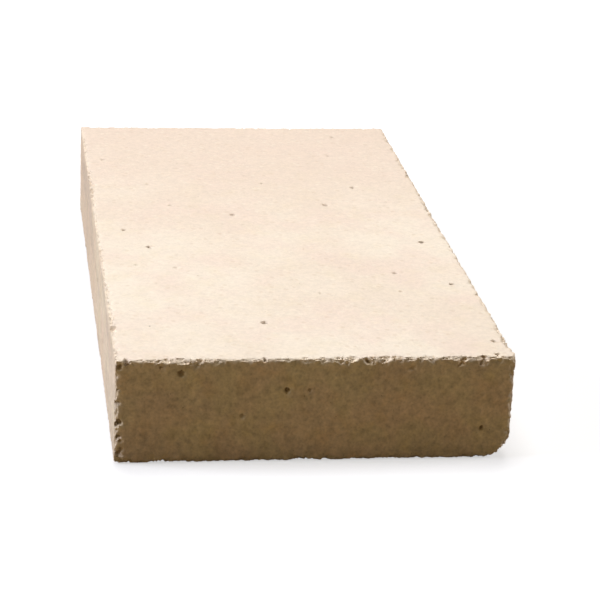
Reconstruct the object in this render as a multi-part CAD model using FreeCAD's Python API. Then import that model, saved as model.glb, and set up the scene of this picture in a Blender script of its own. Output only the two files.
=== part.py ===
"""Refractory firebrick split: one flat slab of fireclay, pressed and fired as a single piece.

The brick lies on its lower bed. The origin is the centre of that bed, X runs along the length,
Y across the width and Z up through the thickness. All sizes are in millimetres.
"""

import FreeCAD, Part
import os

# Overall size of the slab
LENGTH = 228.6
WIDTH = 114.3
THICKNESS = 31.75

# Radii of the arrises, the edges where two faces of the brick meet
UPPER_ARRIS_RADIUS = 0.8      # all round the upper bed, struck nearly square
LOWER_ARRIS_RADIUS = 1.2      # round the lower bed, at both ends and along the left side
ROUNDED_ARRIS_RADIUS = 8.0    # along the right side of the lower bed
UPRIGHT_ARRIS_RADIUS = 1.2    # the four upright corners

# Places of the faces, from the overall size
BACK_END = -LENGTH / 2
FRONT_END = LENGTH / 2
LEFT_SIDE = -WIDTH / 2
RIGHT_SIDE = WIDTH / 2
LOWER_BED = 0.0
UPPER_BED = THICKNESS


def toward(start, end, distance):
    """Point at a distance from start on the way to end."""
    return start + (end - start).normalize() * distance


def rounded_outline(corners, radii):
    """Closed wire through right-angled corners, each rounded by its own radius.

    corners: points in order round the outline, as FreeCAD vectors in one plane
    radii: one radius for each corner
    """
    count = len(corners)
    arc_starts = [toward(corners[i], corners[i - 1], radii[i]) for i in range(count)]
    arc_ends = [toward(corners[i], corners[(i + 1) % count], radii[i]) for i in range(count)]
    edges = []
    for i in range(count):
        centre = arc_starts[i] + arc_ends[i] - corners[i]
        crown = toward(centre, corners[i], radii[i])
        edges.append(Part.Arc(arc_starts[i], crown, arc_ends[i]).toShape())
        edges.append(Part.LineSegment(arc_ends[i], arc_starts[(i + 1) % count]).toShape())
    return Part.Wire(edges)


def prism(corners, radii, sweep):
    """Solid swept along one vector from a rounded outline."""
    return Part.Face(rounded_outline(corners, radii)).extrude(sweep)


def cross_section_prism():
    """Section across the width, run the whole length: it carries the long arrises."""
    corners = [
        FreeCAD.Vector(BACK_END, LEFT_SIDE, LOWER_BED),
        FreeCAD.Vector(BACK_END, RIGHT_SIDE, LOWER_BED),
        FreeCAD.Vector(BACK_END, RIGHT_SIDE, UPPER_BED),
        FreeCAD.Vector(BACK_END, LEFT_SIDE, UPPER_BED),
    ]
    radii = [LOWER_ARRIS_RADIUS, ROUNDED_ARRIS_RADIUS, UPPER_ARRIS_RADIUS, UPPER_ARRIS_RADIUS]
    return prism(corners, radii, FreeCAD.Vector(LENGTH, 0, 0))


def long_section_prism():
    """Section along the length, run the whole width: it carries the arrises of both ends."""
    corners = [
        FreeCAD.Vector(BACK_END, LEFT_SIDE, LOWER_BED),
        FreeCAD.Vector(FRONT_END, LEFT_SIDE, LOWER_BED),
        FreeCAD.Vector(FRONT_END, LEFT_SIDE, UPPER_BED),
        FreeCAD.Vector(BACK_END, LEFT_SIDE, UPPER_BED),
    ]
    radii = [LOWER_ARRIS_RADIUS, LOWER_ARRIS_RADIUS, UPPER_ARRIS_RADIUS, UPPER_ARRIS_RADIUS]
    return prism(corners, radii, FreeCAD.Vector(0, WIDTH, 0))


def plan_prism():
    """Plan of the mould, run up through the thickness: it carries the upright corners."""
    corners = [
        FreeCAD.Vector(BACK_END, LEFT_SIDE, LOWER_BED),
        FreeCAD.Vector(FRONT_END, LEFT_SIDE, LOWER_BED),
        FreeCAD.Vector(FRONT_END, RIGHT_SIDE, LOWER_BED),
        FreeCAD.Vector(BACK_END, RIGHT_SIDE, LOWER_BED),
    ]
    radii = [UPRIGHT_ARRIS_RADIUS] * len(corners)
    return prism(corners, radii, FreeCAD.Vector(0, 0, THICKNESS))


def firebrick():
    """The whole brick: what the two sections and the plan have in common."""
    slab = cross_section_prism().common(long_section_prism())
    return slab.common(plan_prism()).removeSplitter().Solids[0]


def main():
    """Builds the brick and writes its one sub-part."""
    os.makedirs("parts", exist_ok=True)
    brick = firebrick()
    brick.exportStep("parts/firebrick.step")
    print("firebrick: valid", brick.isValid(), "faces", len(brick.Faces), "volume mm3", round(brick.Volume, 1))


main()
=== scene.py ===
"""Looks of a thin refractory firebrick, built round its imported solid.

The brick is one fired slab. Its visible mesh is a fine grid over the solid's box, which Geometry Nodes draw
in to the rounded arris, warp a little, chip along the arrises and sink pores into. One procedural fireclay
finish dresses it.
"""

from __future__ import annotations

import logging
import math
from dataclasses import dataclass
from enum import Enum
from typing import Any, Callable

import bpy
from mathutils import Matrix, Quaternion, Vector


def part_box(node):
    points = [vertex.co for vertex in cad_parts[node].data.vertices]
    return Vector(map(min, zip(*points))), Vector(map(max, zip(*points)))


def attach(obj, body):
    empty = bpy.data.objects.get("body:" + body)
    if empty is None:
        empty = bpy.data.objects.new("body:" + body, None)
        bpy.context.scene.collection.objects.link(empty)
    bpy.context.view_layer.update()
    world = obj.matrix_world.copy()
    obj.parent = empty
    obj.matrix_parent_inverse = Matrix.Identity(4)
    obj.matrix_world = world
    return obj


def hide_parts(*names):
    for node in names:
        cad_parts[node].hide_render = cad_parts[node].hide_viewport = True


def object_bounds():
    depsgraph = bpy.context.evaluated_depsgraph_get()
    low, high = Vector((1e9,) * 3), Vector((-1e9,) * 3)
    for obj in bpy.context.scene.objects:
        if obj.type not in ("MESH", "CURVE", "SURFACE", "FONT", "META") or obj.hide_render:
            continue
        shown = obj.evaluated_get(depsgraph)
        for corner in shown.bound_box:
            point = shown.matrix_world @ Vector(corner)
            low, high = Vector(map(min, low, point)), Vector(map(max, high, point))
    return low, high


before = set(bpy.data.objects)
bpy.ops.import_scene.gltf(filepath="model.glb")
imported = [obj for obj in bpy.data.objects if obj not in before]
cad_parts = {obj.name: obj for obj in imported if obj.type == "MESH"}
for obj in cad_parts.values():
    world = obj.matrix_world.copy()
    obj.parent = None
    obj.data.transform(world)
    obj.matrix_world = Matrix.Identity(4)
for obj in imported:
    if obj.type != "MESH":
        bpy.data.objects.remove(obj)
CAD_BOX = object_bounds()

LOG = logging.getLogger("firebrick")
MM = 0.001
NODE = "firebrick"
# The way along which a noise is shifted, and the factor that leaves out a vector's part along the brick.
NOISE_SHIFT = (1.0, 1.7, 0.6)
ACROSS = (0.0, 1.0, 1.0)

Colour = tuple[float, float, float, float]
Range = tuple[float, float]
Triple = tuple[float, float, float]


@dataclass(frozen=True)
class Mottle:
    """A fractal noise: its size and finer octaves, how it is shifted and drawn out, and the step it makes."""

    size: float
    detail: float = 2.0
    roughness: float = 0.5
    shift: float = 0.0
    drawn: Triple = (1.0, 1.0, 1.0)
    step: Range | None = None


def find_socket(sockets: Any, key: int | str) -> bpy.types.NodeSocket:
    """Finds a node's socket.

    Args:
        sockets: The node's inputs or outputs.
        key: The socket's place in the list, its identifier or its name.

    Returns:
        The socket.
    """
    if isinstance(key, int):
        return sockets[key]
    by_identifier = [socket for socket in sockets if socket.identifier == key]
    return by_identifier[0] if by_identifier else sockets[key]


def operator(operation: str, reflected: bool = False) -> Callable[[Value, Any], Value]:
    """Writes an operator that joins a value and another by one node.

    Args:
        operation: The node's operation.
        reflected: Whether the other value comes first.

    Returns:
        The operator, as a method of Value.
    """
    def method(self: Value, other: Any) -> Value:
        """Joins the value and another."""
        return self.math(operation, other, self) if reflected else self.math(operation, self, other)

    return method


class Value:
    """A number, vector or colour that runs through a node tree, written as Python arithmetic."""

    __add__ = operator("ADD")
    __radd__ = operator("ADD", reflected=True)
    __sub__ = operator("SUBTRACT")
    __rsub__ = operator("SUBTRACT", reflected=True)
    __mul__ = operator("MULTIPLY")
    __rmul__ = operator("MULTIPLY", reflected=True)
    __truediv__ = operator("DIVIDE")
    __rtruediv__ = operator("DIVIDE", reflected=True)
    __pow__ = operator("POWER")
    __gt__ = operator("GREATER_THAN")
    __lt__ = operator("LESS_THAN")
    at_least = operator("MAXIMUM")
    at_most = operator("MINIMUM")
    dot = operator("DOT_PRODUCT")

    def __init__(self, graph: Graph, socket: bpy.types.NodeSocket) -> None:
        """Wraps an output socket of one of the graph's nodes."""
        self.graph = graph
        self.socket = socket

    def math(self, operation: str, *feeds: Any) -> Value:
        """Adds one Math node, or one Vector Math node where a vector or a colour takes part.

        Args:
            operation: The node's operation.
            feeds: Values or constants for its inputs, in order.

        Returns:
            The node's result.
        """
        types = {feed.socket.type for feed in feeds if isinstance(feed, Value)}
        kind = "ShaderNodeMath" if types == {"VALUE"} else "ShaderNodeVectorMath"
        made = self.graph.node(kind, {"operation": operation}, dict(enumerate(feeds)))
        return Value(self.graph, next(output for output in made.outputs if output.enabled))

    def __abs__(self) -> Value:
        """The value, or each part of a vector, without its sign."""
        return self.math("ABSOLUTE", self)

    def length(self) -> Value:
        """A vector's length."""
        return self.math("LENGTH", self)

    def unit(self) -> Value:
        """A vector's direction, with a length of 1."""
        return self.math("NORMALIZE", self)

    def between(self, low: float, high: float) -> Value:
        """From low, where the value is 0, to high, where it is 1."""
        return low + self * (high - low)

    def rise(self, low: Any, high: Any) -> Value:
        """Smooth step.

        Args:
            low: Where the step starts, at 0.
            high: Where the step ends, at 1.

        Returns:
            The step's height at this value.
        """
        sockets = {"Value": self, "From Min": low, "From Max": high}
        made = self.graph.node("ShaderNodeMapRange", {"interpolation_type": "SMOOTHSTEP"}, sockets)
        return Value(self.graph, made.outputs["Result"])


class Graph:
    """A node tree being written."""

    def __init__(self, tree: bpy.types.NodeTree) -> None:
        """Starts on an empty tree."""
        self.tree = tree
        self.tree.nodes.clear()

    def node(self, kind: str, settings: dict[str, Any] | None = None,
             sockets: dict[int | str, Any] | None = None) -> bpy.types.Node:
        """Adds a node.

        Args:
            kind: The node's type.
            settings: Its properties, set first.
            sockets: A value, a link or a constant for each input that is used.

        Returns:
            The new node.
        """
        made = self.tree.nodes.new(kind)
        for name, setting in (settings or {}).items():
            setattr(made, name, setting)
        for key, feed in (sockets or {}).items():
            self.feed(find_socket(made.inputs, key), feed)
        return made

    def feed(self, socket: bpy.types.NodeSocket, feed: Any) -> None:
        """Links an input, or sets it where the feed is a constant.

        Args:
            socket: The input.
            feed: A value, a link or a constant.
        """
        if isinstance(feed, Value):
            feed = feed.socket
        if isinstance(feed, bpy.types.NodeSocket):
            self.tree.links.new(feed, socket)
        else:
            socket.default_value = feed

    def value(self, kind: str, settings: dict[str, Any] | None = None,
              sockets: dict[int | str, Any] | None = None, output: int | str = 0) -> Value:
        """Adds a node and wraps one of its outputs, with the arguments of node()."""
        return Value(self, find_socket(self.node(kind, settings, sockets).outputs, output))

    def parts(self, vector: Any) -> tuple[Value, Value, Value]:
        """The x, y and z of a vector."""
        made = self.node("ShaderNodeSeparateXYZ", None, {"Vector": vector})
        return tuple(Value(self, output) for output in made.outputs)

    def noise(self, place: Value, mottle: Mottle) -> Value:
        """Fractal noise.

        Args:
            place: Where it is read, in metres.
            mottle: The noise's own sizes.

        Returns:
            The noise, about 0.5 on average, or its step from 0 to 1 where it has one.
        """
        if mottle.shift:
            place = place + tuple(mottle.shift * part for part in NOISE_SHIFT)
        if mottle.drawn != Mottle.drawn:
            place = place * mottle.drawn
        sockets = {"Vector": place, "Scale": 1.0 / mottle.size,
                   "Detail": mottle.detail, "Roughness": mottle.roughness}
        noise = self.value("ShaderNodeTexNoise", {"noise_dimensions": "3D"}, sockets)
        return noise.rise(*mottle.step) if mottle.step else noise


class InputKind(Enum):
    """Kinds of named input that a Geometry Nodes tree takes."""

    NUMBER = "NodeSocketFloat"
    COUNT = "NodeSocketInt"
    VECTOR = "NodeSocketVector"
    OBJECT = "NodeSocketObject"
    MATERIAL = "NodeSocketMaterial"


class SlabTree(Graph):
    """A Geometry Nodes tree with named inputs."""

    def __init__(self, name: str) -> None:
        """Starts the tree with its inlet.

        Args:
            name: The tree's name.
        """
        super().__init__(bpy.data.node_groups.new(name, "GeometryNodeTree"))
        self.tree.interface.new_socket("Geometry", in_out="OUTPUT", socket_type="NodeSocketGeometry")
        self.inlet = self.node("NodeGroupInput")
        self.sizes: dict[str, Any] = {}

    def size(self, name: str, kind: InputKind, setting: Any) -> bpy.types.NodeSocket:
        """Adds a named input.

        Args:
            name: The input's name.
            kind: What it holds.
            setting: Its value on the modifier.

        Returns:
            The link that reads it in the tree.
        """
        made = self.tree.interface.new_socket(name, in_out="INPUT", socket_type=kind.value)
        self.sizes[made.identifier] = setting
        return find_socket(self.inlet.outputs, made.identifier)

    def number(self, name: str, setting: float) -> Value:
        """Adds a named number and reads it."""
        return Value(self, self.size(name, InputKind.NUMBER, setting))

    def random(self, low: Any, high: Any, seed: int) -> Value:
        """A random number for each point, from low to high."""
        sockets = {"Min_001": low, "Max_001": high, "Seed": seed}
        return self.value("FunctionNodeRandomValue", {"data_type": "FLOAT"}, sockets, "Value_001")

    def random_vector(self, reach: float, seed: int) -> Value:
        """A random vector for each point, with each part from -reach to reach."""
        sockets = {"Min": (-reach,) * 3, "Max": (reach,) * 3, "Seed": seed}
        return self.value("FunctionNodeRandomValue", {"data_type": "FLOAT_VECTOR"}, sockets)

    def position(self) -> Value:
        """Where each point is."""
        return self.value("GeometryNodeInputPosition")

    def geometry(self, kind: str, settings: dict[str, Any] | None = None,
                 sockets: dict[int | str, Any] | None = None) -> bpy.types.NodeSocket:
        """Adds a node and returns its geometry, with the arguments of node()."""
        return self.node(kind, settings, sockets).outputs[0]

    def inside(self, holder: bpy.types.NodeSocket) -> bpy.types.NodeSocket:
        """The geometry of the object that an input holds."""
        info = self.node("GeometryNodeObjectInfo", {"transform_space": "ORIGINAL"}, {"Object": holder})
        return info.outputs["Geometry"]

    def moved(self, geometry: Any, **sockets: Any) -> bpy.types.NodeSocket:
        """Geometry with its points moved, by a Position, an Offset or a Selection of them."""
        return self.geometry("GeometryNodeSetPosition", None, {"Geometry": geometry, **sockets})

    def as_points(self, mesh: Any) -> bpy.types.NodeSocket:
        """A mesh's corners as loose points, with what they hold."""
        return self.geometry("GeometryNodeMeshToPoints", None, {"Mesh": mesh})

    def without(self, geometry: Any, selection: Value) -> bpy.types.NodeSocket:
        """Points without those that are selected."""
        sockets = {"Geometry": geometry, "Selection": selection}
        return self.geometry("GeometryNodeDeleteGeometry", {"domain": "POINT", "mode": "ALL"}, sockets)

    def store(self, geometry: Any, name: str, feed: Any, kind: str = "FLOAT", domain: str = "POINT") -> Any:
        """Keeps a value on some geometry.

        Args:
            geometry: The geometry.
            name: The name that it is kept under.
            feed: The value.
            kind: The value's data type.
            domain: Which part of the geometry holds it.

        Returns:
            The geometry with the value.
        """
        settings = {"data_type": kind, "domain": domain}
        sockets = {"Geometry": geometry, "Name": name, "Value": feed}
        return self.geometry("GeometryNodeStoreNamedAttribute", settings, sockets)

    def stored(self, name: str, kind: str = "FLOAT") -> Value:
        """Reads a value kept under a name."""
        return self.value("GeometryNodeInputNamedAttribute", {"data_type": kind}, {"Name": name})

    def nearest(self, points: Any, names: dict[str, str]) -> list[Value]:
        """Reads what the nearest of some points holds.

        Args:
            points: The points.
            names: Each kept value's name, and its kind.

        Returns:
            The kept values, in the same order.
        """
        index = self.value("GeometryNodeSampleNearest", {"domain": "POINT"}, {"Geometry": points})
        found = []
        for name, kind in names.items():
            sockets = {"Geometry": points, "Value": self.stored(name, kind), "Index": index}
            settings = {"data_type": kind, "domain": "POINT"}
            found.append(self.value("GeometryNodeSampleIndex", settings, sockets))
        return found

    def on_surface(self, whole: Any) -> Value:
        """The place on a solid's faces that is nearest to each point."""
        return self.value("GeometryNodeProximity", {"target_element": "FACES"}, {0: whole})

    def finish(self, geometry: Any, material: Any) -> None:
        """Ends the tree with real geometry that wears the material.

        Args:
            geometry: The finished geometry.
            material: The tree's input for the material.
        """
        real = self.geometry("GeometryNodeRealizeInstances", None, {"Geometry": geometry})
        dressed = self.geometry("GeometryNodeSetMaterial", None, {"Geometry": real, "Material": material})
        self.node("NodeGroupOutput", None, {"Geometry": dressed})


@dataclass(frozen=True)
class Nibbles:
    """Random scoops along all the arrises, closer together where a slow noise is high."""

    name: str
    spacing: float
    share: float
    radius: Range
    bite: Range
    seed: int
    crowd: Mottle = Mottle(34 * MM, 1.0)
    lean: float = 0.5
    skew: float = 1.6
    bite_share: Range = (0.5, 1.0)


@dataclass(frozen=True)
class Wear:
    """How far the sharp arrises are worn back, and the unevenness along them and in their scoops."""

    margin: float = 5 * MM
    least: float = 0.5 * MM
    depth: float = 1.25 * MM
    stretch: Mottle = Mottle(30 * MM, 1.0, step=(0.35, 0.65))
    stretch_least: float = 0.35
    crumb: Mottle = Mottle(2.6 * MM, 3.0, 0.65, step=(0.38, 0.66))
    grit: Mottle = Mottle(1.0 * MM, 2.0, 0.6)
    grit_depth: float = 0.85 * MM
    scoop_grit: Mottle = Mottle(1.1 * MM, 2.0, 0.7)
    scoop_grit_depth: float = 1.5 * MM
    scoop_lumps: Mottle = Mottle(3.5 * MM, 2.0, 0.6)
    fade: float = 0.25 * MM


@dataclass(frozen=True)
class Pores:
    """Random open pores on the faces without pores in their own places, and the ragged rim of every pore."""

    spacing: float = 5.5 * MM
    most_dense: float = 1.0e5
    share: float = 0.14
    crowd: Mottle = Mottle(30 * MM)
    skew: float = 2.5
    radius: Range = (0.4 * MM, 1.3 * MM)
    depth: Range = (0.7, 1.5)
    # How dark a pore's inside is painted: partly stain, partly painted shade in the hollow.
    tone: Range = (0.25, 0.85)
    rim: Mottle = Mottle(1.1 * MM, 2.0, 0.6)
    rim_reach: Range = (-0.3, 2.3)
    rim_least: float = 0.1
    wall: Range = (0.45, 1.0)
    shell: float = 2.5 * MM
    seed: int = 23


class Face(Enum):
    """Faces with pores in their own places, each with the direction that it looks in."""

    UPPER_BED = (0, 0, 1)
    FRONT_END = (1, 0, 0)


class Arris(Enum):
    """Arrises with chips in their own places, each with the directions of its two faces."""

    FRONT_TOP = ((0, 0, 1), (1, 0, 0))
    FRONT_LEFT = ((0, -1, 0), (1, 0, 0))


@dataclass(frozen=True)
class Pit:
    """A pore in its own place on a face, in millimetres, and its inside's darkness: stain and painted shade.
    """

    place: Range
    radius: float
    depth: float
    tone: float


@dataclass(frozen=True)
class Chip:
    """A chip in its own place along an arris, in millimetres, leaning into one face (-1) or the other (1)."""

    place: float
    radius: float
    bite: float
    lean: float


PITS = {
    Face.UPPER_BED: (
        Pit((20, -41), 0.95, 1.3, 0.9), Pit((86, -12), 1.0, 1.4, 0.9), Pit((16, 48), 1.05, 1.3, 1.0),
        Pit((112, 52), 0.9, 1.1, 0.9), Pit((3, -48), 1.2, 0.7, 0.6), Pit((-12, -11), 1.0, 0.8, 0.7),
        Pit((-46, 3), 0.95, 0.6, 0.55), Pit((-22, 22), 1.2, 0.6, 0.6), Pit((-41, 34), 1.2, 0.7, 0.7),
        Pit((45, 34), 0.9, 0.9, 0.8), Pit((55, 50), 1.0, 1.0, 0.9), Pit((102, 53), 0.95, 0.8, 0.7),
        Pit((-22, -31), 0.9, 0.4, 0.4), Pit((-45, -37), 0.8, 0.4, 0.4), Pit((39, -34), 0.8, 0.4, 0.4),
        Pit((36, -46), 0.8, 0.4, 0.4), Pit((-73, -51), 0.9, 0.5, 0.5), Pit((113.4, -53.7), 1.1, 1.1, 0.9),
        Pit((113.3, -15), 0.8, 0.9, 0.8), Pit((62, 8), 0.7, 0.4, 0.4), Pit((61, 33), 0.8, 0.5, 0.5),
        Pit((-78, 31), 0.9, 0.5, 0.5), Pit((-102, 36), 0.9, 0.5, 0.5),
    ),
    Face.FRONT_END: (
        Pit((-38.6, 27.7), 1.05, 0.9, 0.55), Pit((-8.5, 22), 1.05, 0.9, 0.6),
        Pit((48.5, 9.5), 0.95, 0.9, 0.6), Pit((-21, 14.5), 0.7, 0.5, 0.4), Pit((-2, 22), 0.7, 0.5, 0.45),
        Pit((-55.9, 12.9), 1.2, 1.0, 0.6), Pit((-56.3, 11.7), 0.8, 0.7, 0.5),
        Pit((-56.0, 8.3), 0.9, 0.8, 0.55), Pit((-55.8, 3.4), 1.2, 0.9, 0.55),
        Pit((-55.2, 4.8), 0.8, 0.6, 0.5), Pit((-56.2, 18.8), 0.8, 0.6, 0.5),
        Pit((-55.8, 29.6), 0.9, 0.7, 0.5), Pit((-55.4, 7.2), 0.6, 0.5, 0.4),
        Pit((-56.1, 22.8), 0.5, 0.4, 0.4), Pit((-44.5, 29.4), 0.8, 0.7, 0.45),
        Pit((14.2, 30.2), 0.6, 0.6, 0.5), Pit((41.5, 29.9), 1.2, 0.9, 0.0),
        Pit((47.5, 30.2), 1.3, 0.9, 0.0), Pit((27, 28.6), 1.0, 0.5, 0.0),
    ),
}
CHIPS = {
    Arris.FRONT_TOP: (
        Chip(-54, 1.5, 0.8, -0.5), Chip(-41, 1.8, 0.9, 0.5), Chip(-38, 1.2, 0.7, -0.4),
        Chip(-15, 1.1, 0.6, -0.6), Chip(3, 1.5, 0.8, 0.3), Chip(16, 1.9, 0.8, 0.6),
        Chip(33, 1.8, 1.0, 0.3), Chip(42, 2.4, 1.4, 0.5), Chip(47.5, 2.4, 1.4, 0.4),
        Chip(51.5, 1.4, 0.8, -0.2),
    ),
    Arris.FRONT_LEFT: (
        Chip(27.9, 1.0, 0.5, 0.3), Chip(10.5, 1.2, 0.6, 0.3), Chip(5.6, 1.1, 0.5, 0.3),
        Chip(1.8, 1.2, 0.6, 0.4),
    ),
}


def axis_of(direction: tuple[int, int, int]) -> int:
    """The number of the axis that a direction runs along."""
    return [abs(part) for part in direction].index(1)


def linked(name: str, data: Any) -> bpy.types.Object:
    """Makes an object and puts it in the scene.

    Args:
        name: The object's name.
        data: Its mesh, lamp or camera.

    Returns:
        The object.
    """
    made = bpy.data.objects.new(name, data)
    bpy.context.scene.collection.objects.link(made)
    return made


@dataclass(frozen=True)
class Dots:
    """Round dots in the clay: their mean spacing and the share of places for a dot that are empty.

    A dot is full inside its core and has faded at its edge, both in spacings, times a size of its own.
    """

    spacing: float
    empty: float
    core: float
    edge: float
    own_size: Range = (0.4, 1.0)


@dataclass(frozen=True)
class Fireclay:
    """Pale buff fired clay: mottled body, grog, iron specks, pinholes, smears and raw chips.

    The pinholes' share and the contrasts are pairs, for the beds and for the sides. The share of the tan on
    the sides, which is partly painted shade, is for no blot and a full one, the smears' is for the ends and
    the flanks, and the grog's draws are the highest for a tan grain and the lowest for a pale one.
    """

    name: str = "fireclay"
    buff: Colour = (0.82, 0.70, 0.585, 1.0)
    cream: Colour = (0.865, 0.765, 0.65, 1.0)
    pink: Colour = (0.835, 0.675, 0.585, 1.0)
    straw: Colour = (0.815, 0.70, 0.52, 1.0)
    # Painted shade: the back of the brick is coloured darker, as its light is dimmer there.
    far_shade: Colour = (0.78, 0.64, 0.54, 1.0)
    # Tan of the sides and ends: partly their own warmer tone, partly painted shade, as the ends stand in
    # shade.
    tan_and_shade_rosy: Colour = (0.768, 0.566, 0.402, 1.0)
    tan_and_shade_olive: Colour = (0.742, 0.604, 0.378, 1.0)
    smear: Colour = (0.52, 0.43, 0.37, 1.0)
    grog_pale: Colour = (0.90, 0.82, 0.70, 1.0)
    grog_tan: Colour = (0.60, 0.45, 0.30, 1.0)
    iron: Colour = (0.10, 0.055, 0.028, 1.0)
    rust: Colour = (0.52, 0.30, 0.15, 1.0)
    # Dark brown inside pores and pinholes: partly an iron stain, partly painted shade in the hollows.
    pore: Colour = (0.20, 0.13, 0.07, 1.0)
    raw: Colour = (0.84, 0.72, 0.585, 1.0)

    grain: Mottle = Mottle(0.8 * MM, 2.0, 0.6)
    sand: Mottle = Mottle(1.9 * MM, 2.0, 0.6)
    clots: Mottle = Mottle(3.4 * MM)
    broad: Mottle = Mottle(55 * MM, step=(0.34, 0.66))
    patches: Mottle = Mottle(24 * MM, 3.0, 0.55, 0.31, step=(0.42, 0.68))
    blots: Mottle = Mottle(8 * MM, 3.0, 0.6, 0.83, step=(0.45, 0.75))
    hues: Mottle = Mottle(12 * MM, shift=1.27, step=(0.36, 0.64))
    smears: Mottle = Mottle(14 * MM, shift=0.57, drawn=(0.45, 0.45, 1.0), step=(0.44, 0.66))
    flecks: Mottle = Mottle(1.3 * MM, 2.0, 0.6, step=(0.46, 0.66))
    pinholes: Dots = Dots(3.4 * MM, 0.55, 0.03, 0.09)
    specks: Dots = Dots(7.5 * MM, 0.72, 0.02, 0.055)
    halos: Dots = Dots(7.5 * MM, 0.86, 0.02, 0.20)
    grog_spacing: float = 2.1 * MM
    grog_edge: Range = (0.22, 0.48)
    grog_draws: Range = (0.13, 0.80)

    pink_share: float = 0.5
    straw_share: float = 0.3
    # Share and reach of the painted shade that darkens the back.
    far_shade_share: float = 0.8
    far_shade_reach: Range = (-40 * MM, 130 * MM)
    # Share of that tan and painted shade; the long sides get less of it than the ends.
    tan_and_shade_share: Range = (0.55, 0.85)
    tan_and_shade_less_on_flank: float = 0.5
    smear_share: Range = (0.15, 0.30)
    fleck_gain: Range = (1.0, 2.3)
    grog_pale_share: float = 0.3
    grog_tan_share: float = 0.2
    halo_share: float = 0.3
    raw_share: float = 0.7
    speck_share: float = 0.75
    pinhole_share: Range = (0.35, 0.60)
    pore_grain: Range = (0.3, 1.7)
    pore_step: Range = (0.05, 0.9)

    # Contrasts of grain and sand in the tone: partly the clay's own mottle, partly painted shade in the
    # bump's hollows.
    grain_contrast: Range = (0.19, 0.55)
    sand_contrast: Range = (0.18, 0.74)
    clot_contrast: float = 0.4
    calm_on_flank: float = 0.35
    grain_height: float = 0.75
    sand_height: float = 0.6
    pinhole_depth: float = 1.2
    relief: float = 0.14 * MM
    roughness: float = 0.92
    roughness_spread: float = 0.10
    specular: float = 0.25

    def material(self) -> bpy.types.Material:
        """Makes the finish.

        Returns:
            The material.
        """
        made = bpy.data.materials.new(self.name)
        made.use_nodes = True
        graph = Graph(made.node_tree)
        place = graph.value("ShaderNodeTexCoord", None, None, "Object")
        side = 1.0 - self.attribute(graph, "bed")
        grain = graph.noise(place, self.grain)
        sand = graph.noise(place, self.sand)
        clots = graph.noise(place, self.clots)
        pinholes = self.dotted(graph, place, self.pinholes)
        specks = self.dotted(graph, place, self.specks)
        halos = self.dotted(graph, place, self.halos)

        colour = self.body(graph, place, side)
        colour = self.smeared(graph, place, side, colour)
        colour = self.grogged(graph, place, colour)
        colour = self.mixed(graph, halos * self.halo_share, colour, self.rust)
        colour = self.mixed(graph, self.attribute(graph, "chip") * self.raw_share, colour, self.raw)
        uneven = side * (1.0 - self.attribute(graph, "flank") * self.calm_on_flank)
        # The tone follows the bump's height: partly the clay's own mottle, partly painted shade in its low
        # places.
        mottle_and_cavity_shade = 1.0 + (grain - 0.5) * uneven.between(*self.grain_contrast)
        mottle_and_cavity_shade = mottle_and_cavity_shade + (sand - 0.5) * uneven.between(*self.sand_contrast)
        colour = colour * (mottle_and_cavity_shade + (clots - 0.5) * uneven * self.clot_contrast)
        colour = self.mixed(graph, specks * self.speck_share, colour, self.iron)
        # Pinholes and pores painted dark brown: partly stain, partly painted shade inside them.
        colour = self.mixed(graph, pinholes * side.between(*self.pinhole_share), colour, self.pore)
        sunk = self.attribute(graph, "pore") * grain.between(*self.pore_grain)
        colour = self.mixed(graph, sunk.rise(*self.pore_step), colour, self.pore)

        height = grain * self.grain_height + sand * self.sand_height - pinholes * self.pinhole_depth
        sockets = {"Strength": 1.0, "Distance": self.relief, "Height": height}
        bump = graph.node("ShaderNodeBump", None, sockets)
        rough = self.roughness + (grain - 0.5) * self.roughness_spread
        sockets = {"Base Color": colour, "Roughness": rough, "Normal": bump.outputs["Normal"],
                   "Specular IOR Level": self.specular}
        shader = graph.node("ShaderNodeBsdfPrincipled", None, sockets)
        graph.node("ShaderNodeOutputMaterial", None, {"Surface": shader.outputs["BSDF"]})
        return made

    def attribute(self, graph: Graph, name: str) -> Value:
        """Reads a value kept on the mesh."""
        return graph.value("ShaderNodeAttribute", {"attribute_name": name}, None, "Fac")

    def mixed(self, graph: Graph, share: Any, colour: Any, other: Any) -> Value:
        """A colour with a share of another laid over it."""
        sockets = {"Factor_Float": share, "A_Color": colour, "B_Color": other}
        return graph.value("ShaderNodeMix", {"data_type": "RGBA"}, sockets, "Result_Color")

    def cells(self, graph: Graph, place: Value, spacing: float) -> tuple[Value, Value, Value]:
        """Random cells in the clay.

        Args:
            graph: The material's tree.
            place: Where they are read.
            spacing: The mean distance between their hearts.

        Returns:
            Two random numbers of the cell, and the distance from its heart, in spacings.
        """
        sockets = {"Vector": place, "Scale": 1.0 / spacing}
        made = graph.node("ShaderNodeTexVoronoi", {"feature": "F1"}, sockets)
        first, second, _ = graph.parts(made.outputs["Color"])
        return first, second, Value(graph, made.outputs["Distance"])

    def dotted(self, graph: Graph, place: Value, dots: Dots) -> Value:
        """Scattered round dots.

        Args:
            graph: The material's tree.
            place: Where they are read.
            dots: The dots' sizes.

        Returns:
            1 in a dot, 0 away from it.
        """
        draw, own_draw, distance = self.cells(graph, place, dots.spacing)
        distance = distance / own_draw.between(*dots.own_size)
        return (draw > dots.empty) * (1.0 - distance.rise(dots.core, dots.edge))

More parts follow.
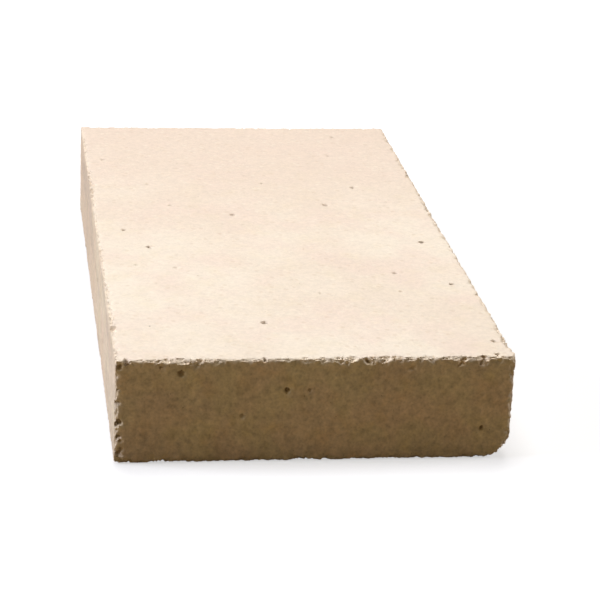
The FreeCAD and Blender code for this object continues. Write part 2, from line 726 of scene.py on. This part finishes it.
    def body(self, graph: Graph, place: Value, side: Value) -> Value:
        """Colour of the fired body, mottled at several scales, with painted shade on its sides and back.

        The back is darker by painted shade. The sides and ends are browner: partly their own warmer tone,
        partly painted shade, which is strongest on the ends.

        Args:
            graph: The material's tree.
            place: Where it is read.
            side: 1 on the sides and ends, 0 on the beds.

        Returns:
            The colour.
        """
        blot = graph.noise(place, self.blots)
        back = 0.0 - graph.parts(place)[0]
        colour = self.mixed(graph, graph.noise(place, self.broad), self.buff, self.cream)
        colour = self.mixed(graph, graph.noise(place, self.patches) * self.pink_share, colour, self.pink)
        colour = self.mixed(graph, blot * self.straw_share, colour, self.straw)
        # Painted shade: the body darkens towards the back.
        colour = self.mixed(graph, back.rise(*self.far_shade_reach) * self.far_shade_share, colour, self.far_shade)
        # Tan on the sides and ends: partly their own tone, partly painted shade, the most on the ends.
        tan_and_shade = self.mixed(graph, graph.noise(place, self.hues), self.tan_and_shade_rosy, self.tan_and_shade_olive)
        share = side * blot.between(*self.tan_and_shade_share)
        share = share * (1.0 - self.attribute(graph, "flank") * self.tan_and_shade_less_on_flank)
        return self.mixed(graph, share, colour, tan_and_shade)

    def smeared(self, graph: Graph, place: Value, side: Value, colour: Value) -> Value:
        """The body with faint grey smears along the sides, where the slab slid out of its mould.

        Args:
            graph: The material's tree.
            place: Where it is read.
            side: 1 on the sides and ends, 0 on the beds.
            colour: The body's colour.

        Returns:
            The colour with the smears.
        """
        share = side * graph.noise(place, self.smears)
        share = share * self.attribute(graph, "flank").between(*self.smear_share)
        share = share * graph.noise(place, self.flecks).between(*self.fleck_gain)
        return self.mixed(graph, share, colour, self.smear)

    def grogged(self, graph: Graph, place: Value, colour: Value) -> Value:
        """The body with pale and tan grains of grog set in it.

        Args:
            graph: The material's tree.
            place: Where it is read.
            colour: The body's colour.

        Returns:
            The colour with the grog.
        """
        draw, _, distance = self.cells(graph, place, self.grog_spacing)
        inside = 1.0 - distance.rise(*self.grog_edge)
        most_tan, least_pale = self.grog_draws
        pale = inside * (draw > least_pale) * self.grog_pale_share
        tan = inside * (draw < most_tan) * self.grog_tan_share
        colour = self.mixed(graph, pale, colour, self.grog_pale)
        return self.mixed(graph, tan, colour, self.grog_tan)


@dataclass
class Firebrick:
    """The brick: one slab, as large as its solid and worn."""

    cell: float = 0.36 * MM
    quick_cell: float = 0.8 * MM
    most_triangles: int = 190_000
    warp: Mottle = Mottle(42 * MM, 1.0)
    warp_depth: float = 0.22 * MM
    dents: Mottle = Mottle(6 * MM, 2.0, 0.6)
    dent_depth: float = 0.05 * MM
    sharp_angle: float = math.radians(42)
    sharp_reach: float = 1.2 * MM
    round_radius: float = 8 * MM
    round_fade: Range = (0.4, 1.0)
    map_gap: float = 3 * MM
    wear: Wear = Wear()
    pores: Pores = Pores()
    chipped: Nibbles = Nibbles("Chip", 11 * MM, 0.30, (2.2 * MM, 5.0 * MM), (0.4 * MM, 0.9 * MM), 11)
    crumbled: Nibbles = Nibbles("Nibble", 4.0 * MM, 0.60, (1.0 * MM, 2.6 * MM), (0.25 * MM, 0.8 * MM), 5)

    def __post_init__(self) -> None:
        """Takes the solid's box and what follows from it."""
        self.low, self.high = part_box(NODE)
        self.size = self.high - self.low
        self.centre = (self.high + self.low) / 2

    def build(self, finish: Fireclay) -> bpy.types.Object:
        """Makes the brick's mesh and dresses it.

        Args:
            finish: The clay it is made of.

        Returns:
            The finished piece.
        """
        pits, chips = self.pit_points(), self.chip_points()
        graph = self.worn_tree(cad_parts[NODE], pits, chips, finish.material())
        holder = linked("slab_grid", bpy.data.meshes.new("slab_grid"))
        self.apply_tree(holder, graph)
        triangles = self.settle(holder)
        piece = linked("fired_brick", holder.data)
        for scrap in (pits, chips, holder):
            bpy.data.objects.remove(scrap)
        LOG.info("fired_brick: %d triangles", triangles)
        return piece

    def point_object(self, name: str, places: list[Vector], kept: dict[str, list[Any]]) -> bpy.types.Object:
        """Makes loose points that hold values.

        Args:
            name: The object's name.
            places: Where the points are.
            kept: For each value's name, its value at each point.

        Returns:
            The object.
        """
        mesh = bpy.data.meshes.new(name)
        mesh.from_pydata(places, [], [])
        for label, settings in kept.items():
            is_vector = isinstance(settings[0], Vector)
            layer = mesh.attributes.new(label, "FLOAT_VECTOR" if is_vector else "FLOAT", "POINT")
            for item, setting in zip(layer.data, settings):
                setattr(item, "vector" if is_vector else "value", setting)
        return linked(name, mesh)

    def corner(self, *directions: tuple[int, int, int]) -> Vector:
        """The box's centre, moved out to some of its faces.

        Args:
            directions: Where those faces look.

        Returns:
            The place.
        """
        place = self.centre.copy()
        for direction in directions:
            place += Vector(direction) * self.size[axis_of(direction)] / 2
        return place

    def pit_points(self) -> bpy.types.Object:
        """Makes the points of the pores that have their own places.

        Returns:
            The object that holds the points.
        """
        places, kept = [], {"way": [], "reach": [], "sink": [], "tone": []}
        for face, pits in PITS.items():
            free = [axis for axis in range(3) if axis != axis_of(face.value)]
            for pit in pits:
                place = self.corner(face.value)
                for axis, step in zip(free, pit.place):
                    place[axis] = step * MM
                places.append(place)
                kept["way"].append(Vector(face.value))
                kept["reach"].append(pit.radius * MM)
                kept["sink"].append(pit.depth * MM)
                kept["tone"].append(pit.tone)
        return self.point_object("marked_pores", places, kept)

    def chip_points(self) -> bpy.types.Object:
        """Makes the hearts of the chips that have their own places.

        Returns:
            The object that holds the hearts.
        """
        hearts, kept = [], {"heart": [], "reach": []}
        for arris, chips in CHIPS.items():
            first, second = arris.value
            free = ({0, 1, 2} - {axis_of(first), axis_of(second)}).pop()
            for chip in chips:
                place = self.corner(first, second)
                place[free] = chip.place * MM
                outward = Vector(first) * (1 - chip.lean) + Vector(second) * (1 + chip.lean)
                heart = place + outward.normalized() * (chip.radius - chip.bite) * MM
                hearts.append(heart)
                kept["heart"].append(heart)
                kept["reach"].append(chip.radius * MM)
        return self.point_object("marked_chips", hearts, kept)

    def worn_tree(self, solid: bpy.types.Object, pits: bpy.types.Object, chips: bpy.types.Object,
                  material: bpy.types.Material) -> SlabTree:
        """Writes the whole tree.

        Args:
            solid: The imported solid.
            pits: The points of the pores that have their own places.
            chips: The hearts of the chips that have their own places.
            material: What the brick wears.

        Returns:
            The tree, with its inputs' values.
        """
        graph = SlabTree("worn_brick")
        whole = graph.inside(graph.size("Solid", InputKind.OBJECT, solid))
        marked_chips = graph.inside(graph.size("Marked Chips", InputKind.OBJECT, chips))
        marked_pores = graph.inside(graph.size("Marked Pores", InputKind.OBJECT, pits))
        box = graph.size("Size", InputKind.VECTOR, self.size)
        centre = graph.size("Centre", InputKind.VECTOR, self.centre)
        slab = self.moulded(graph, box, centre)
        slab = self.blunted(graph, self.warped(graph, slab))
        slab = self.scooped(graph, slab, self.arris_points(graph, whole, self.chipped, box, centre))
        slab = self.scooped(graph, slab, graph.as_points(marked_chips))
        slab = self.scooped(graph, slab, self.arris_points(graph, whole, self.crumbled, box, centre))
        slab = self.pitted(graph, slab, self.pore_points(graph, whole, marked_pores))
        graph.finish(slab, graph.size("Finish", InputKind.MATERIAL, material))
        return graph

    def moulded(self, graph: SlabTree, box: Any, centre: Any) -> Any:
        """A fine grid over the brick's box, drawn in to its rounded arris.

        Args:
            graph: The tree.
            box: The tree's input for the size.
            centre: The tree's input for the centre.

        Returns:
            The grid, with its map and where its beds and long sides are.
        """
        cell = self.cell
        sockets = {"Size": box}
        for axis, length in zip("XYZ", self.size):
            count = graph.size(f"Points {axis}", InputKind.COUNT, round(length / cell) + 1)
            sockets[f"Vertices {axis}"] = count
        grid = graph.moved(graph.geometry("GeometryNodeMeshCube", None, sockets), Offset=centre)
        normal = graph.value("GeometryNodeInputNormal")
        settings = {"data_type": "FLOAT_VECTOR", "domain": "FACE"}
        facing = graph.parts(graph.value("GeometryNodeFieldOnDomain", settings, {0: normal}))
        grid = graph.store(grid, "OFBake", self.bake_map(graph, facing), "FLOAT2", "CORNER")
        bed, flank = self.face_shares(graph, facing)
        grid = graph.store(graph.store(grid, "bed", bed), "flank", flank)
        return graph.moved(grid, Offset=self.drawn_in(graph, graph.position()))

    def face_shares(self, graph: SlabTree, facing: tuple[Value, Value, Value]) -> tuple[Value, Value]:
        """How far each place on the plain box belongs to a bed, and to a long side.

        Args:
            graph: The tree.
            facing: The parts of each face's direction.

        Returns:
            The bed's share, which rises slowly over the rounded arris, and the long side's.
        """
        on_end, on_side, on_bed = self.on_faces(facing)
        spoke, in_round = self.spoke(graph, graph.position())
        over = in_round * (1.0 - on_end)
        _, _, up = graph.parts(spoke.unit())
        bed = on_bed + (abs(up).rise(*self.round_fade) - on_bed) * over
        return bed, on_side.at_least(over)

    def on_faces(self, facing: tuple[Value, Value, Value]) -> tuple[Value, ...]:
        """1 on the ends, on the long sides and on the beds, else 0."""
        return tuple(abs(part) > 0.5 for part in facing)

    def spoke(self, graph: SlabTree, place: Value) -> tuple[Value, Value]:
        """The way from the axis of the rounded arris to a place, square to that axis.

        Args:
            graph: The tree.
            place: Where it is read.

        Returns:
            The way, and 1 in the quarter beside the rounded arris, else 0.
        """
        axis = (0.0, self.high.y - self.round_radius, self.low.z + self.round_radius)
        spoke = (place - axis) * ACROSS
        _, right, up = graph.parts(spoke)
        return spoke, (right > 0.0) * (up < 0.0)

    def drawn_in(self, graph: SlabTree, place: Value) -> Value:
        """How far a place on the plain box moves to make its square corner the rounded arris.

        Args:
            graph: The tree.
            place: The place.

        Returns:
            The move.
        """
        spoke, in_round = self.spoke(graph, place)
        _, right, up = graph.parts(abs(spoke))
        length = spoke.length().at_least(self.cell)
        return spoke * ((right.at_least(up) / length - 1.0) * in_round)

    def bake_map(self, graph: SlabTree, facing: tuple[Value, Value, Value]) -> Value:
        """Lays the six faces side by side on one map.

        Args:
            graph: The tree.
            facing: The parts of each face's direction.

        Returns:
            The place of each face's corners on the map.
        """
        x, y, z = graph.parts(graph.position() - self.low)
        on_end, on_side, on_bed = self.on_faces(facing)
        wide, thick = self.size.y + self.map_gap, self.size.z + self.map_gap
        ends_u = y + (facing[0] < 0.0) * wide
        beds_v = y + (facing[2] < 0.0) * wide
        sides_v = z + 2 * wide + (facing[1] < 0.0) * thick
        ends_v = z + 2 * wide + 2 * thick
        u = ((1.0 - on_end) * x + on_end * ends_u) / (2 * wide)
        v = (on_bed * beds_v + on_side * sides_v + on_end * ends_v) / (2 * wide + 3 * thick)
        return graph.value("ShaderNodeCombineXYZ", None, {"X": u, "Y": v})

    def warped(self, graph: SlabTree, slab: Any) -> Any:
        """Makes the faces a little uneven, always inwards.

        Args:
            graph: The tree.
            slab: The moulded slab.

        Returns:
            The warped slab.
        """
        place = graph.position()
        broad = graph.noise(place, self.warp) * graph.number("Warp Depth", self.warp_depth)
        small = graph.noise(place, self.dents) * graph.number("Dent Depth", self.dent_depth)
        normal = graph.value("GeometryNodeInputNormal")
        return graph.moved(slab, Offset=normal * (0.0 - broad - small))

    def core(self, graph: SlabTree, place: Value) -> tuple[Value, Value]:
        """The nearest place on a core that lies a margin inside the faces and the rounded arris.

        Args:
            graph: The tree.
            place: Where it is read.

        Returns:
            The place on the core, and 1 beside the rounded arris, else 0.
        """
        inset = Vector((self.wear.margin,) * 3)
        square = place.at_most(self.high - inset).at_least(self.low + inset)
        spoke, in_round = self.spoke(graph, place)
        inner = self.round_radius - self.wear.margin
        share = inner / spoke.length().at_least(inner)
        to_round = place + spoke * (share - 1.0)
        return square + (to_round - square) * ACROSS * in_round, in_round

    def blunted(self, graph: SlabTree, slab: Any) -> Any:
        """The slab with its sharp arrises worn back by an uneven depth.

        Each point is measured from a core that lies a margin inside the faces. Only an arris stands further
        from that core than the margin, and it is cut off there at a rough distance.

        Args:
            graph: The tree.
            slab: The warped slab.

        Returns:
            The slab with blunt arrises.
        """
        wear = self.wear
        place = graph.position()
        core, in_round = self.core(graph, place)
        away = place - core
        distance = away.length()
        x, y, z = graph.parts(abs(away))
        at_corner = x.at_most(y).at_most(z) * (math.sqrt(3) - math.sqrt(2)) * (1.0 - in_round)
        stretch = graph.noise(place, wear.stretch)
        crumb = graph.noise(place, wear.crumb)
        grit = (graph.noise(place, wear.grit) - 0.5) * wear.grit_depth
        deep = graph.number("Wear Depth", wear.depth)
        cut = wear.least + deep * crumb * stretch.between(wear.stretch_least, 1.0) + grit
        limit = math.sqrt(2) * wear.margin + at_corner - cut
        slab = graph.store(slab, "chip", (distance - limit).rise(0.0, wear.fade))
        landed = core + away * (limit / distance)
        return graph.moved(slab, Selection=distance > limit, Position=landed)

    def arris_points(self, graph: SlabTree, whole: Any, nibbles: Nibbles, box: Any, centre: Any) -> Any:
        """Random points along the arrises, each the heart of a scoop.

        Args:
            graph: The tree.
            whole: The solid's geometry.
            nibbles: The scoops' sizes.
            box: The tree's input for the size.
            centre: The tree's input for the centre.

        Returns:
            The points, with their heart and reach.
        """
        cube = graph.moved(graph.geometry("GeometryNodeMeshCube", None, {"Size": box}), Offset=centre)
        settings = {"domain": "FACE", "mode": "ONLY_FACE"}
        wires = graph.geometry("GeometryNodeDeleteGeometry", settings, {"Geometry": cube})
        curves = graph.geometry("GeometryNodeMeshToCurve", None, {0: wires})
        spacing = graph.number(f"{nibbles.name} Spacing", nibbles.spacing)
        sockets = {"Curve": curves, "Length": spacing}
        beads = graph.node("GeometryNodeCurveToPoints", {"mode": "LENGTH"}, sockets)
        slide = graph.random(-0.5, 0.5, nibbles.seed) * spacing
        tangent = Value(graph, beads.outputs["Tangent"])
        points = graph.moved(beads.outputs["Points"], Offset=tangent * slide)
        share = graph.number(f"{nibbles.name} Share", nibbles.share)
        crowd = graph.noise(graph.position(), nibbles.crowd) * 2.0
        points = graph.without(points, graph.random(0.0, 1.0, nibbles.seed + 1) > share * crowd)
        near = graph.on_surface(whole)
        outward = graph.position() - near
        points = graph.without(points, outward.length() > self.sharp_reach)
        lean = graph.random_vector(nibbles.lean, nibbles.seed + 2)
        outward = (outward.unit() + lean).unit()
        draw = graph.random(0.0, 1.0, nibbles.seed + 3) ** nibbles.skew
        depth = draw * graph.random(*nibbles.bite_share, nibbles.seed + 4)
        radius = draw.between(*nibbles.radius)
        bite = depth.between(*nibbles.bite)
        points = graph.store(points, "reach", radius)
        heart = near + outward * (radius - bite)
        points = graph.store(points, "heart", heart, "FLOAT_VECTOR")
        return graph.moved(points, Position=graph.stored("heart", "FLOAT_VECTOR"))

    def scooped(self, graph: SlabTree, slab: Any, points: Any) -> Any:
        """Takes a rough scoop out of the slab at each point.

        Args:
            graph: The tree.
            slab: The slab.
            points: The points, with their heart and reach.

        Returns:
            The slab with the scoops.
        """
        heart, reach = graph.nearest(points, {"heart": "FLOAT_VECTOR", "reach": "FLOAT"})
        place = graph.position()
        away = place - heart
        distance = away.length()
        grit = (graph.noise(place, self.wear.scoop_grit) - 0.5) * self.wear.scoop_grit_depth
        lumps = (graph.noise(place, self.wear.scoop_lumps) - 0.5) * reach
        ragged = reach + grit + lumps
        broken = (ragged - distance).rise(0.0, self.wear.fade)
        slab = graph.store(slab, "chip", graph.stored("chip").at_least(broken))
        landed = heart + away * (ragged / distance)
        return graph.moved(slab, Selection=distance < ragged, Position=landed)

    def pore_points(self, graph: SlabTree, whole: Any, marked: Any) -> Any:
        """Points for all pores: those at random and those that have their own places.

        Args:
            graph: The tree.
            whole: The solid's geometry.
            marked: The points of the pores that have their own places.

        Returns:
            The points, with their way, reach, sink and tone.
        """
        pores = self.pores
        sockets = {"Mesh": whole, "Distance Min": graph.number("Pore Spacing", pores.spacing),
                   "Density Max": pores.most_dense, "Seed": pores.seed}
        spread = graph.node("GeometryNodeDistributePointsOnFaces", {"distribute_method": "POISSON"}, sockets)
        points = graph.store(spread.outputs["Points"], "way", spread.outputs["Normal"], "FLOAT_VECTOR")
        crowd = graph.noise(graph.position(), pores.crowd) * 2.0
        along, _, up = graph.parts(graph.stored("way", "FLOAT_VECTOR"))
        has_own = along.at_least(up) > 0.5
        share = graph.number("Pore Share", pores.share) * (1.0 - has_own)
        points = graph.without(points, graph.random(0.0, 1.0, pores.seed + 1) > share * crowd)
        draw = graph.random(0.0, 1.0, pores.seed + 2) ** pores.skew
        points = graph.store(points, "reach", draw.between(*pores.radius))
        sink = graph.stored("reach") * graph.random(*pores.depth, pores.seed + 3)
        points = graph.store(points, "sink", sink)
        points = graph.store(points, "tone", graph.random(*pores.tone, pores.seed + 4))
        joined = graph.node("GeometryNodeJoinGeometry")
        for part in (points, graph.as_points(marked)):
            graph.tree.links.new(part, joined.inputs[0])
        return joined.outputs[0]

    def pitted(self, graph: SlabTree, slab: Any, points: Any) -> Any:
        """Sinks a pore into the slab at each point.

        Args:
            graph: The tree.
            slab: The slab.
            points: The points, with their way, reach, sink and tone.

        Returns:
            The slab with the pores.
        """
        points = graph.store(points, "heart", graph.position(), "FLOAT_VECTOR")
        names = {"heart": "FLOAT_VECTOR", "way": "FLOAT_VECTOR",
                 "reach": "FLOAT", "sink": "FLOAT", "tone": "FLOAT"}
        heart, way, reach, sink, tone = graph.nearest(points, names)
        place = graph.position()
        away = place - heart
        along = away.dot(way)
        across = (away - way * along).length()
        rim = graph.noise(place, self.pores.rim).between(*self.pores.rim_reach)
        ragged = reach * rim.at_least(self.pores.rim_least)
        sunk = (1.0 - (across / ragged).rise(*self.pores.wall)) * (abs(along) < self.pores.shell)
        slab = graph.store(slab, "depth", sunk)
        # The pore mask darkens the inside: partly stain, partly painted shade in the hollow.
        slab = graph.store(slab, "pore", sunk * tone)
        return graph.moved(slab, Offset=way * (0.0 - sink * graph.stored("depth")))

    def apply_tree(self, holder: bpy.types.Object, graph: SlabTree) -> None:
        """Runs a tree on an object and keeps the result as its plain mesh.

        Args:
            holder: The object.
            graph: The tree, with its inputs' values.
        """
        modifier = holder.modifiers.new(graph.tree.name, "NODES")
        modifier.node_group = graph.tree
        for identifier, setting in graph.sizes.items():
            modifier[identifier] = setting
        self.keep_result(holder)

    def keep_result(self, holder: bpy.types.Object) -> None:
        """Turns an object's modifiers into its plain mesh.

        Args:
            holder: The object.
        """
        evaluated = holder.evaluated_get(bpy.context.evaluated_depsgraph_get())
        mesh = bpy.data.meshes.new_from_object(evaluated)
        holder.modifiers.clear()
        holder.data = mesh

    def settle(self, holder: bpy.types.Object) -> int:
        """Thins the mesh where it is flat and sets its shading.

        Args:
            holder: The object with the worn mesh.

        Returns:
            How many triangles are left.
        """
        holder.data.calc_loop_triangles()
        triangles = len(holder.data.loop_triangles)
        if triangles > self.most_triangles:
            thin = holder.modifiers.new("thin", "DECIMATE")
            thin.ratio = self.most_triangles / triangles
            self.keep_result(holder)
        mesh = holder.data
        mesh.name = "fired_brick"
        mesh.shade_smooth()
        mesh.set_sharp_from_angle(angle=self.sharp_angle)
        mesh.calc_loop_triangles()
        return len(mesh.loop_triangles)


@dataclass(frozen=True)
class Lamp:
    """A square soft lamp: where it hangs, its width in metres, its power in watts and its colour."""

    name: str
    place: Triple
    width: float
    power: float
    colour: Triple = (1.0, 1.0, 1.0)


@dataclass
class Studio:
    """Plain pale floor, soft lamps and the camera."""

    eye: Triple = (0.679, -0.092, 0.266)
    aim: Triple = (0.022, 0.008, 0.014)
    roll: float = math.radians(2.7)
    lens: float = 132.0
    sensor: float = 36.0
    floor_reach: float = 6.0
    floor_lit: Colour = (0.545, 0.55, 0.58, 1.0)
    floor_glow: float = 0.57
    floor_fade: Range = (0.6, 1.3)
    floor_bounce: Colour = (0.29, 0.215, 0.11, 1.0)
    fill: Colour = (0.054, 0.038, 0.014, 1.0)
    white: Colour = (1.0, 1.0, 1.0, 1.0)
    lamps: tuple[Lamp, ...] = (
        Lamp("overhead", (-0.35, 0.0, 1.5), 0.9, 16.3, (1.0, 0.98, 0.93)),
        Lamp("left", (0.0, -1.5, 0.85), 0.6, 22.4, (0.85, 0.893, 1.0)),
        Lamp("right", (0.0, 1.5, 0.85), 0.6, 8.4),
        Lamp("front", (0.75, -1.2, 0.75), 0.5, 1.1, (1.0, 0.78, 0.40)),
    )

    def build(self) -> None:
        """Makes the floor, the world, the lamps and the camera."""
        low, high = CAD_BOX
        self.floor()
        self.world()
        for lamp in self.lamps:
            self.hang(lamp, (low + high) / 2)
        self.camera()

    def seen(self, graph: Graph) -> Value:
        """Picks the rays that show the background itself: seen straight, in gloss or through glass.

        Args:
            graph: The tree of a material or the world.

        Returns:
            1 for those rays, else 0.
        """
        path = graph.node("ShaderNodeLightPath")
        camera, glossy, through = (Value(graph, path.outputs[name])
                                   for name in ("Is Camera Ray", "Is Glossy Ray", "Is Transmission Ray"))
        return camera.at_least(glossy).at_least(through)

    def floor(self) -> None:
        """A pale floor that shows white with the brick's shadow, and throws back only a dim warm light."""
        mesh = bpy.data.meshes.new("floor")
        reach = self.floor_reach
        corners = [(-reach, -reach, 0), (reach, -reach, 0), (reach, reach, 0), (-reach, reach, 0)]
        mesh.from_pydata(corners, [], [(0, 1, 2, 3)])
        made = linked("floor", mesh)
        material = bpy.data.materials.new("pale_floor")
        material.use_nodes = True
        graph = Graph(material.node_tree)
        place = graph.value("ShaderNodeTexCoord", None, None, "Object")
        tone = place.length().rise(*self.floor_fade).between(self.floor_glow, 1.0)
        lit = graph.node("ShaderNodeBsdfDiffuse", None, {"Color": self.floor_lit})
        glow = graph.node("ShaderNodeEmission", None, {"Color": tone, "Strength": 1.0})
        shown = graph.node("ShaderNodeAddShader", None, {0: lit.outputs[0], 1: glow.outputs[0]})
        dim = graph.node("ShaderNodeBsdfDiffuse", None, {"Color": self.floor_bounce})
        mixed = graph.node("ShaderNodeMixShader", None,
                           {0: self.seen(graph), 1: dim.outputs[0], 2: shown.outputs[0]})
        graph.node("ShaderNodeOutputMaterial", None, {"Surface": mixed.outputs[0]})
        mesh.materials.append(material)
        LOG.info("floor: stage")

    def world(self) -> None:
        """White where it is seen, and a weak warm fill on the object."""
        world = bpy.data.worlds.new("studio")
        bpy.context.scene.world = world
        world.use_nodes = True
        graph = Graph(world.node_tree)
        fill = graph.node("ShaderNodeBackground", None, {"Color": self.fill, "Strength": 1.0})
        shown = graph.node("ShaderNodeBackground", None, {"Color": self.white, "Strength": 1.0})
        mixed = graph.node("ShaderNodeMixShader", None,
                           {0: self.seen(graph), 1: fill.outputs[0], 2: shown.outputs[0]})
        graph.node("ShaderNodeOutputWorld", None, {"Surface": mixed.outputs[0]})

    def hang(self, lamp: Lamp, target: Vector) -> None:
        """Hangs a lamp.

        Args:
            lamp: The lamp's sizes.
            target: Where it points.
        """
        data = bpy.data.lights.new(lamp.name, "AREA")
        data.shape = "SQUARE"
        data.size = lamp.width
        data.energy = lamp.power
        data.color = lamp.colour
        made = linked(lamp.name, data)
        made.location = lamp.place
        made.rotation_mode = "QUATERNION"
        made.rotation_quaternion = (target - Vector(lamp.place)).to_track_quat("-Z", "Y")

    def camera(self) -> None:
        """Puts the camera at the photograph's viewing angle, aimed at the middle of the brick."""
        data = bpy.data.cameras.new("camera")
        data.lens = self.lens
        data.sensor_width = self.sensor
        made = linked("camera", data)
        made.location = self.eye
        made.rotation_mode = "QUATERNION"
        aim = (Vector(self.aim) - Vector(self.eye)).to_track_quat("-Z", "Y")
        made.rotation_quaternion = aim @ Quaternion((0.0, 0.0, 1.0), self.roll)
        bpy.context.scene.camera = made


def main() -> None:
    """Builds the brick and the studio round it."""
    logging.basicConfig(level=logging.INFO)
    bpy.context.scene.view_settings.view_transform = "Standard"
    brick = Firebrick().build(Fireclay())
    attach(brick, "root")
    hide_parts(NODE)
    Studio().build()


if __name__ == "__main__":
    main()
